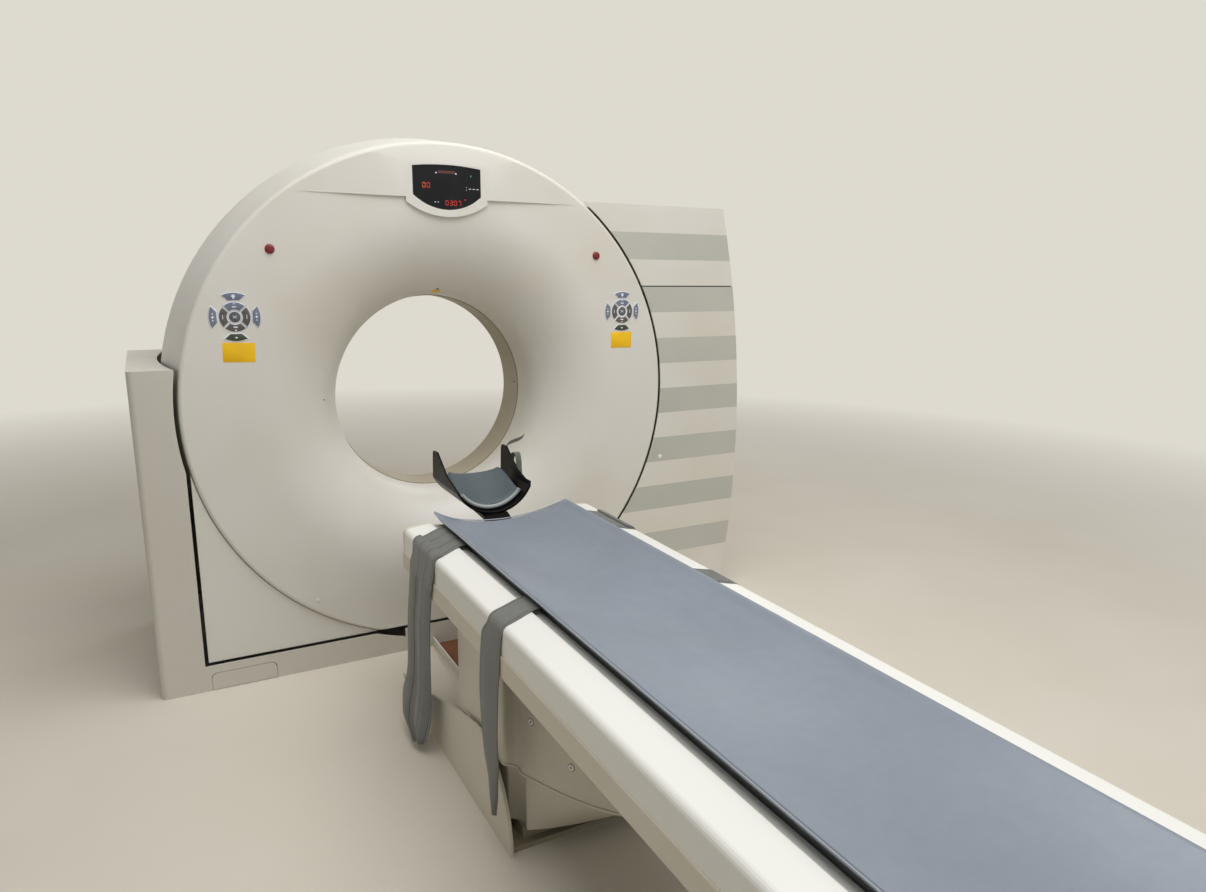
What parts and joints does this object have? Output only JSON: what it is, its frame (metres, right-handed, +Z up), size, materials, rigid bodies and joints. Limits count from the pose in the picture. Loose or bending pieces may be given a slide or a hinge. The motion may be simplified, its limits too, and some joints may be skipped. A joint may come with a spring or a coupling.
{
  "type": "ct scanner",
  "caption": "Tilting computed tomography gantry with a rotating scan ring, key panels and a digit display, and a patient table that rises and slides its cradle into the bore.",
  "frame": {"origin": "on the floor under the centre of the bore", "axes": "+Z up, +Y along the bore from the table into the gantry, +X to the right seen from the table"},
  "size_m": [2.241, 3.583, 1.805],
  "materials": {
    "cover_white": "satin paint on moulded plastic",
    "frame_paint": "painted steel",
    "machined_steel": "ground",
    "unit_paint": "painted housings",
    "cast_aluminium": "machined casting",
    "ring_brass": "tracks",
    "ring_cream": "satin",
    "display_black": "smoked window",
    "duct_grey": "satin",
    "foot_grey": "dark plinth",
    "rail_white": "smooth",
    "fascia_beige": "satin",
    "strap_fabric": "woven webbing",
    "cradle_dark": "carbon fibre laminate",
    "mat_vinyl": "vinyl cover",
    "holder_black": "gloss",
    "pad_foam": "foam pad cover",
    "key_silver": "metallic",
    "key_dark": "dark",
    "key_green": "dark green",
    "stop_red": "red"
  },
  "bodies": {
    "base": {"base_frame": "frame_paint", "support_posts": "frame_paint", "trunnion_bearings": "machined_steel", "tilt_drive": "unit_paint", "left_column_cover": "cover_white", "base_skirts": "cover_white", "service_hatch": "cover_white", "side_cover_upper": "cover_white", "side_cover_lower": "cover_white", "floor_duct": "duct_grey", "pedestal_foot": "foot_grey", "side_panels": "cover_white", "lower_cover": "cover_white", "column_outer": "frame_paint"},
    "tilt": {"tilt_frame": "frame_paint", "front_cover": "cover_white", "rear_cover": "cover_white", "bore_ring": "ring_cream", "corner_panels": "cover_white", "display_panel": "display_black", "rotor_bearing": "machined_steel"},
    "rotor": {"rotor_disc": "cast_aluminium", "xray_tube": "unit_paint", "collimator": "unit_paint", "detector_arc": "unit_paint", "generator": "unit_paint", "slip_ring": "ring_brass", "tube_cooler": "unit_paint"},
    "lift_middle": {"middle_cover": "cover_white", "column_middle": "machined_steel"},
    "table": {"upper_cover": "cover_white", "table_frame": "frame_paint", "top_rails": "rail_white", "side_fascias": "fascia_beige", "end_caps": "fascia_beige", "straps": "strap_fabric"},
    "cradle": {"cradle": "cradle_dark", "mat": "mat_vinyl", "head_holder": "holder_black", "head_pad": "pad_foam"},
    "left_key_centre_body": {"left_key_centre": "key_dark"},
    "left_key_ring_up_body": {"left_key_ring_up": "key_silver"},
    "left_key_ring_left_body": {"left_key_ring_left": "key_dark"},
    "left_key_ring_down_body": {"left_key_ring_down": "key_silver"},
    "left_key_ring_right_body": {"left_key_ring_right": "key_dark"},
    "left_key_wing_up_body": {"left_key_wing_up": "key_silver"},
    "left_key_wing_left_body": {"left_key_wing_left": "key_silver"},
    "left_key_wing_down_body": {"left_key_wing_down": "key_green"},
    "left_key_wing_right_body": {"left_key_wing_right": "key_silver"},
    "right_key_centre_body": {"right_key_centre": "key_dark"},
    "right_key_ring_up_body": {"right_key_ring_up": "key_silver"},
    "right_key_ring_left_body": {"right_key_ring_left": "key_dark"},
    "right_key_ring_down_body": {"right_key_ring_down": "key_silver"},
    "right_key_ring_right_body": {"right_key_ring_right": "key_dark"},
    "right_key_wing_up_body": {"right_key_wing_up": "key_silver"},
    "right_key_wing_left_body": {"right_key_wing_left": "key_silver"},
    "right_key_wing_down_body": {"right_key_wing_down": "key_green"},
    "right_key_wing_right_body": {"right_key_wing_right": "key_silver"},
    "left_stop_button_body": {"left_stop_button": "stop_red"},
    "right_stop_button_body": {"right_stop_button": "stop_red"}
  },
  "joints": [
    {"name": "gantry_tilt", "type": "hinge", "parent": "base", "child": "tilt", "pos_m": [0, 0, 0.905], "axis": [-1, 0, 0], "range_deg": [-30, 22]},
    {"name": "rotor_spin", "type": "hinge", "parent": "tilt", "child": "rotor", "pos_m": [0, 0, 0.905], "axis": [0, 1, 0], "continuous": true},
    {"name": "table_lift", "type": "slide", "parent": "base", "child": "table", "axis": [0, 0, 1], "range_m": [-0.14, 0.22]},
    {"name": "lift_middle_slide", "type": "slide", "parent": "base", "child": "lift_middle", "axis": [0, 0, 1], "range_m": [-0.07, 0.11]},
    {"name": "cradle_slide", "type": "slide", "parent": "table", "child": "cradle", "axis": [0, 1, 0], "range_m": [0, 1.53]},
    {"name": "left_key_centre_press", "type": "slide", "parent": "tilt", "child": "left_key_centre_body", "axis": [0, 1, 0], "range_m": [0, 0.0015], "stiffness_N_per_m": 400, "springref_m": -0.002},
    {"name": "left_key_ring_up_press", "type": "slide", "parent": "tilt", "child": "left_key_ring_up_body", "axis": [0, 1, 0], "range_m": [0, 0.0015], "stiffness_N_per_m": 400, "springref_m": -0.002},
    {"name": "left_key_ring_left_press", "type": "slide", "parent": "tilt", "child": "left_key_ring_left_body", "axis": [0, 1, 0], "range_m": [0, 0.0015], "stiffness_N_per_m": 400, "springref_m": -0.002},
    {"name": "left_key_ring_down_press", "type": "slide", "parent": "tilt", "child": "left_key_ring_down_body", "axis": [0, 1, 0], "range_m": [0, 0.0015], "stiffness_N_per_m": 400, "springref_m": -0.002},
    {"name": "left_key_ring_right_press", "type": "slide", "parent": "tilt", "child": "left_key_ring_right_body", "axis": [0, 1, 0], "range_m": [0, 0.0015], "stiffness_N_per_m": 400, "springref_m": -0.002},
    {"name": "left_key_wing_up_press", "type": "slide", "parent": "tilt", "child": "left_key_wing_up_body", "axis": [0, 1, 0], "range_m": [0, 0.0015], "stiffness_N_per_m": 400, "springref_m": -0.002},
    {"name": "left_key_wing_left_press", "type": "slide", "parent": "tilt", "child": "left_key_wing_left_body", "axis": [0, 1, 0], "range_m": [0, 0.0015], "stiffness_N_per_m": 400, "springref_m": -0.002},
    {"name": "left_key_wing_down_press", "type": "slide", "parent": "tilt", "child": "left_key_wing_down_body", "axis": [0, 1, 0], "range_m": [0, 0.0015], "stiffness_N_per_m": 400, "springref_m": -0.002},
    {"name": "left_key_wing_right_press", "type": "slide", "parent": "tilt", "child": "left_key_wing_right_body", "axis": [0, 1, 0], "range_m": [0, 0.0015], "stiffness_N_per_m": 400, "springref_m": -0.002},
    {"name": "right_key_centre_press", "type": "slide", "parent": "tilt", "child": "right_key_centre_body", "axis": [0, 1, 0], "range_m": [0, 0.0015], "stiffness_N_per_m": 400, "springref_m": -0.002},
    {"name": "right_key_ring_up_press", "type": "slide", "parent": "tilt", "child": "right_key_ring_up_body", "axis": [0, 1, 0], "range_m": [0, 0.0015], "stiffness_N_per_m": 400, "springref_m": -0.002},
    {"name": "right_key_ring_left_press", "type": "slide", "parent": "tilt", "child": "right_key_ring_left_body", "axis": [0, 1, 0], "range_m": [0, 0.0015], "stiffness_N_per_m": 400, "springref_m": -0.002},
    {"name": "right_key_ring_down_press", "type": "slide", "parent": "tilt", "child": "right_key_ring_down_body", "axis": [0, 1, 0], "range_m": [0, 0.0015], "stiffness_N_per_m": 400, "springref_m": -0.002},
    {"name": "right_key_ring_right_press", "type": "slide", "parent": "tilt", "child": "right_key_ring_right_body", "axis": [0, 1, 0], "range_m": [0, 0.0015], "stiffness_N_per_m": 400, "springref_m": -0.002},
    {"name": "right_key_wing_up_press", "type": "slide", "parent": "tilt", "child": "right_key_wing_up_body", "axis": [0, 1, 0], "range_m": [0, 0.0015], "stiffness_N_per_m": 400, "springref_m": -0.002},
    {"name": "right_key_wing_left_press", "type": "slide", "parent": "tilt", "child": "right_key_wing_left_body", "axis": [0, 1, 0], "range_m": [0, 0.0015], "stiffness_N_per_m": 400, "springref_m": -0.002},
    {"name": "right_key_wing_down_press", "type": "slide", "parent": "tilt", "child": "right_key_wing_down_body", "axis": [0, 1, 0], "range_m": [0, 0.0015], "stiffness_N_per_m": 400, "springref_m": -0.002},
    {"name": "right_key_wing_right_press", "type": "slide", "parent": "tilt", "child": "right_key_wing_right_body", "axis": [0, 1, 0], "range_m": [0, 0.0015], "stiffness_N_per_m": 400, "springref_m": -0.002},
    {"name": "left_stop_button_press", "type": "slide", "parent": "tilt", "child": "left_stop_button_body", "axis": [0, 1, 0], "range_m": [0, 0.004], "stiffness_N_per_m": 600, "springref_m": -0.004},
    {"name": "right_stop_button_press", "type": "slide", "parent": "tilt", "child": "right_stop_button_body", "axis": [0, 1, 0], "range_m": [0, 0.004], "stiffness_N_per_m": 600, "springref_m": -0.004}
  ],
  "couplings": [
    {"joint": "lift_middle_slide", "follows": "table_lift", "ratio": 0.5}
  ]
}
